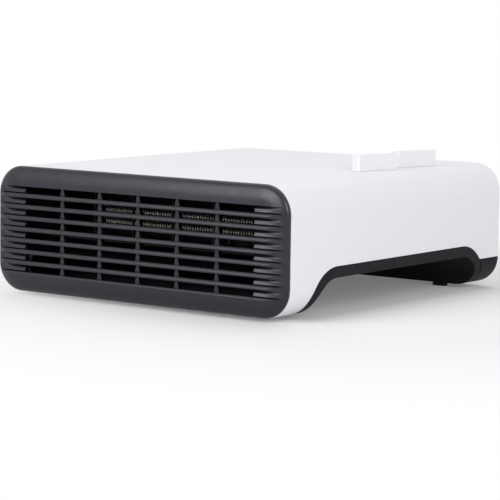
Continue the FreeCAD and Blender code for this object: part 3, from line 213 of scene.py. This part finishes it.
def metal(name, colour, roughness, stretch=(1, 1, 1), scale=900, depth=0.01 * MM):
    """Bare metal with the lines that rolling, drawing or turning leaves in it."""
    material, tree, shader = new_material(name)
    lines = stretched_noise(tree, scale, stretch)
    dark, light = (shaded(colour, share) for share in TARNISH)
    tree.links.new(mixed(tree, surface_noise(tree, TARNISH_SPOTS), dark, light), shader.inputs["Base Color"])
    shader.inputs["Metallic"].default_value = 1.0
    smooth, rough = (roughness + stray for stray in METAL_GLOSS_SPREAD)
    tree.links.new(between(tree, lines, smooth, rough), shader.inputs["Roughness"])
    tree.links.new(bumped(tree, lines, depth, METAL_BUMP), shader.inputs["Normal"])
    return material


def rubber(name, colour):
    """Dull rubber with a coarser skin than plastic has."""
    return moulded(name, colour, roughness=0.75, grain=900, depth=0.05 * MM, strength=0.4, specular=0.3)


def mica(name, light, dark):
    """Pressed mica board: flakes of two tones with a slight sheen."""
    material, tree, shader = new_material(name)
    place = add_node(tree, "ShaderNodeTexCoord")
    flakes = add_node(tree, "ShaderNodeTexVoronoi", Scale=FLAKE_SPOTS)
    tree.links.new(place.outputs["Object"], flakes.inputs["Vector"])
    tint = mixed(tree, flakes.outputs["Distance"], dark, light)
    tree.links.new(tint, shader.inputs["Base Color"])
    shader.inputs["Roughness"].default_value = MICA_ROUGHNESS
    shader.inputs["Specular IOR Level"].default_value = MICA_SPECULAR
    tree.links.new(bumped(tree, flakes.outputs["Distance"], FLAKE_DEPTH, FLAKE_BUMP), shader.inputs["Normal"])
    return material


def laminated(name, colour):
    """A stack of punched sheets: fine level lines round its sides."""
    return metal(name, colour, roughness=0.5, stretch=(0.02, 0.02, 1), scale=2200, depth=0.05 * MM)


FINISHES = {
    "casing_white": moulded("casing_white", (0.806, 0.80, 0.84), 0.5, mottle=0.008),
    "knob_white": moulded("knob_white", (0.830, 0.825, 0.852), 0.45, grain=2200, mottle=0.008),
    "grille_grey": moulded("grille_grey", (0.0085, 0.0070, 0.0120), 0.30, mottle=0.06,
                           gloss_tint=(0.95, 0.90, 1.0)),
    "base_grey": moulded("base_grey", (0.006, 0.0052, 0.0082), 0.5, grain=1100, mottle=0.06, specular=0.12),
    "inlet_black": moulded("inlet_black", (0.012, 0.012, 0.012), 0.5),
    "foot_rubber": rubber("foot_rubber", (0.012, 0.012, 0.012)),
    "screw_steel": metal("screw_steel", (0.55, 0.55, 0.57), 0.32),
    "control_body": moulded("control_body", (0.02, 0.02, 0.022), 0.55),
    "spindle_steel": metal("spindle_steel", (0.56, 0.56, 0.58), 0.28, stretch=(1, 1, 0.05)),
    "fan_plastic": moulded("fan_plastic", (0.018, 0.018, 0.020), 0.5),
    "motor_bracket": metal("motor_bracket", (0.42, 0.43, 0.45), 0.38, stretch=(0.05, 1, 1)),
    "motor_core": laminated("motor_core", (0.25, 0.25, 0.27)),
    "bearing_bronze": metal("bearing_bronze", (0.55, 0.38, 0.18), 0.45),
    "bobbin_nylon": moulded("bobbin_nylon", (0.62, 0.58, 0.48), 0.5),
    "copper_wire": metal("copper_wire", (0.60, 0.26, 0.12), 0.35, stretch=(1, 0.02, 0.02), scale=1800,
                         depth=0.2 * MM),
    # Near-black duct sheet: painted shade of the heater's dark inside.
    "duct_sheet": moulded("duct_sheet", (0.010, 0.010, 0.011), 0.8, grain=700, mottle=0.1, specular=0.1),
    # Near-black mica: painted shade of the heater's dark inside, over the flakes' two tones.
    "mica": mica("mica", (0.022, 0.019, 0.016), (0.010, 0.009, 0.008)),
    "terminal_brass": metal("terminal_brass", (0.20, 0.155, 0.085), 0.45),
    "resistance_wire": metal("resistance_wire", (0.48, 0.455, 0.42), 0.32, scale=3000),
    # Near-black wire for the outer coil rows: painted shade of the rows that lie deeper inside.
    "painted_shade_wire": moulded("painted_shade_wire", (0.034, 0.032, 0.031), 0.7, specular=0.1),
    "cutout_case": moulded("cutout_case", (0.55, 0.53, 0.48), 0.6),
    "block_plastic": moulded("block_plastic", (0.62, 0.62, 0.60), 0.45),
    "lead_sleeve": rubber("lead_sleeve", (0.30, 0.06, 0.035)),
}


def dress(item, slot):
    """Give an object one finish in place of what it came with."""
    item.data.materials.clear()
    item.data.materials.append(FINISHES[slot])


for part in frame["record"]["subparts"]:
    dress(frame["nodes"][part["node"]], part["material_slot"])


# Rounded edges

def round_edges(name, width):
    """Soften a moulded piece's sharp edges, as its mould does."""
    item = frame["nodes"][name]
    joined = item.modifiers.new("joined", "WELD")
    joined.merge_threshold = WELD_REACH
    rounded = item.modifiers.new("rounded", "BEVEL")
    rounded.width = width
    rounded.segments = EDGE_SEGMENTS
    rounded.limit_method = "ANGLE"
    rounded.angle_limit = EDGE_ANGLE
    rounded.harden_normals = True
    item.modifiers.new("shading", "WEIGHTED_NORMAL").keep_sharp = True


for node_name, edge_width in EDGE_ROUNDS.items():
    round_edges(node_name, edge_width)


# Coils of resistance wire

def coil_points(start, end, centre):
    """One coil about the X axis between two heads: a straight lead, its turns and a straight lead."""
    first = start + COIL_LEAD
    wound = end - COIL_LEAD - first
    steps = COIL_TURNS * STEPS_PER_TURN
    points = [(start, centre.y, centre.z + COIL_RADIUS)]
    for step in range(steps + 1):
        angle = 2 * math.pi * step / STEPS_PER_TURN
        along = first + wound * step / steps
        back = centre.y + COIL_RADIUS * math.sin(angle)
        up = centre.z + COIL_RADIUS * math.cos(angle)
        points.append((along, back, up))
    points.append((end, centre.y, centre.z + COIL_RADIUS))
    return points


def add_spline(curve, points, finish):
    """A smooth line along a coil's points, with the finish that has this number on the curve."""
    spline = curve.splines.new("NURBS")
    spline.material_index = finish
    spline.points.add(len(points) - 1)
    for point, place in zip(spline.points, points):
        point.co = (*place, 1)
    spline.order_u = 3
    spline.use_endpoint_u = True
    spline.resolution_u = 2


def coils():
    """Finely wound coils in the places of the solid ones: the outer rows lie behind, their wire darkened as
    painted shade.
    """
    low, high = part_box("heating_coils")
    curve = bpy.data.curves.new("wound_coils", "CURVE")
    curve.dimensions = "3D"
    curve.bevel_depth = COIL_WIRE / 2
    curve.bevel_resolution = 1
    item = bpy.data.objects.new("wound_coils", curve)
    bpy.context.scene.collection.objects.link(item)
    dress(item, "resistance_wire")
    # Second finish, for the outer rows: near-black wire as painted shade.
    curve.materials.append(FINISHES["painted_shade_wire"])
    reach = COIL_RADIUS + COIL_WIRE / 2
    for row in range(COIL_ROWS):
        outer = row in (0, COIL_ROWS - 1)
        depth = high.y - reach if outer else low.y + reach
        share = row / (COIL_ROWS - 1)
        level = (low.z + reach) * (1 - share) + (high.z - reach) * share
        add_spline(curve, coil_points(low.x, high.x, Vector((0, depth, level))), int(outer))
    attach(item, "housing")
    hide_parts("heating_coils")


coils()


# Floor, light and camera

def seen_ray(tree):
    """One for rays that see a surface straight, mirrored or through glass, none where light spreads."""
    path = add_node(tree, "ShaderNodeLightPath")
    seen = path.outputs["Is Camera Ray"]
    for kind in ("Is Glossy Ray", "Is Transmission Ray"):
        either = add_node(tree, "ShaderNodeMath", {"operation": "MAXIMUM"})
        tree.links.new(seen, either.inputs[0])
        tree.links.new(path.outputs[kind], either.inputs[1])
        seen = either.outputs["Value"]
    return seen


def floor():
    """A plain pale floor that keeps the heater's shadow and fades to white away from it."""
    mesh = bpy.data.meshes.new("floor")
    corners = [(-FLOOR_HALF, -FLOOR_HALF, 0), (FLOOR_HALF, -FLOOR_HALF, 0),
               (FLOOR_HALF, FLOOR_HALF, 0), (-FLOOR_HALF, FLOOR_HALF, 0)]
    mesh.from_pydata(corners, [], [(0, 1, 2, 3)])
    item = bpy.data.objects.new("floor", mesh)
    bpy.context.scene.collection.objects.link(item)
    material, tree, shader = new_material("pale_floor")
    shader.inputs["Base Color"].default_value = FLOOR_COLOUR
    shader.inputs["Roughness"].default_value = FLOOR_ROUGHNESS
    shader.inputs["Specular IOR Level"].default_value = FLOOR_SPECULAR
    place = add_node(tree, "ShaderNodeTexCoord")
    away = add_node(tree, "ShaderNodeVectorMath", {"operation": "DISTANCE"})
    away.inputs[1].default_value = FLOOR_CENTRE
    fade = add_node(tree, "ShaderNodeMapRange", {"interpolation_type": "SMOOTHSTEP"})
    fade.inputs["From Min"].default_value = FLOOR_NEAR
    fade.inputs["From Max"].default_value = FLOOR_FAR
    fade.inputs["To Min"].default_value = FLOOR_LIFT
    tree.links.new(place.outputs["Object"], away.inputs["Vector"])
    tree.links.new(away.outputs["Value"], fade.inputs["Value"])
    white = add_node(tree, "ShaderNodeEmission", Strength=1.0)
    shown = add_node(tree, "ShaderNodeMixShader")
    lift = add_node(tree, "ShaderNodeMath", {"operation": "MULTIPLY"})
    tree.links.new(seen_ray(tree), lift.inputs[0])
    tree.links.new(fade.outputs["Result"], lift.inputs[1])
    tree.links.new(lift.outputs["Value"], shown.inputs["Fac"])
    tree.links.new(shader.outputs["BSDF"], shown.inputs[1])
    tree.links.new(white.outputs["Emission"], shown.inputs[2])
    tree.links.new(shown.outputs["Shader"], tree.nodes["Material Output"].inputs["Surface"])
    mesh.materials.append(material)


def world():
    """Even light all round, seen as plain white."""
    surroundings = bpy.data.worlds.new("studio")
    bpy.context.scene.world = surroundings
    surroundings.use_nodes = True
    tree = surroundings.node_tree
    soft = tree.nodes["Background"]
    soft.inputs["Color"].default_value = WHITE
    soft.inputs["Strength"].default_value = WORLD_LIGHT
    white = add_node(tree, "ShaderNodeBackground", Color=WHITE, Strength=1.0)
    shown = add_node(tree, "ShaderNodeMixShader")
    tree.links.new(seen_ray(tree), shown.inputs["Fac"])
    tree.links.new(soft.outputs["Background"], shown.inputs[1])
    tree.links.new(white.outputs["Background"], shown.inputs[2])
    tree.links.new(shown.outputs["Shader"], tree.nodes["World Output"].inputs["Surface"])


def lamps():
    """Broad lamps that all point at the heater."""
    for name, (place, size, power) in LAMPS.items():
        light = bpy.data.lights.new(name, "AREA")
        light.shape = "RECTANGLE"
        light.size, light.size_y = size
        light.energy = power
        item = bpy.data.objects.new(name, light)
        item.location = place
        item.rotation_euler = (LAMP_AIM - Vector(place)).to_track_quat("-Z", "Y").to_euler()
        bpy.context.scene.collection.objects.link(item)


def camera():
    """The photograph's camera, turned by its yaw, pitch and roll."""
    level = Vector((math.cos(CAMERA_YAW), math.sin(CAMERA_YAW), 0))
    reach = math.cos(CAMERA_PITCH)
    ahead = Vector((-math.sin(CAMERA_YAW) * reach, math.cos(CAMERA_YAW) * reach, -math.sin(CAMERA_PITCH)))
    upright = level.cross(ahead)
    right = level * math.cos(CAMERA_ROLL) + upright * math.sin(CAMERA_ROLL)
    up = upright * math.cos(CAMERA_ROLL) - level * math.sin(CAMERA_ROLL)
    lens = bpy.data.cameras.new("camera")
    lens.sensor_width = SENSOR
    lens.lens = SENSOR * CAMERA_FOCAL
    item = bpy.data.objects.new("camera", lens)
    turn = Matrix((right, up, -ahead)).transposed().to_4x4()
    item.matrix_world = Matrix.Translation(CAMERA_PLACE) @ turn
    bpy.context.scene.collection.objects.link(item)
    bpy.context.scene.camera = item


floor()
world()
lamps()
camera()
bpy.context.scene.view_settings.view_transform = "Standard"
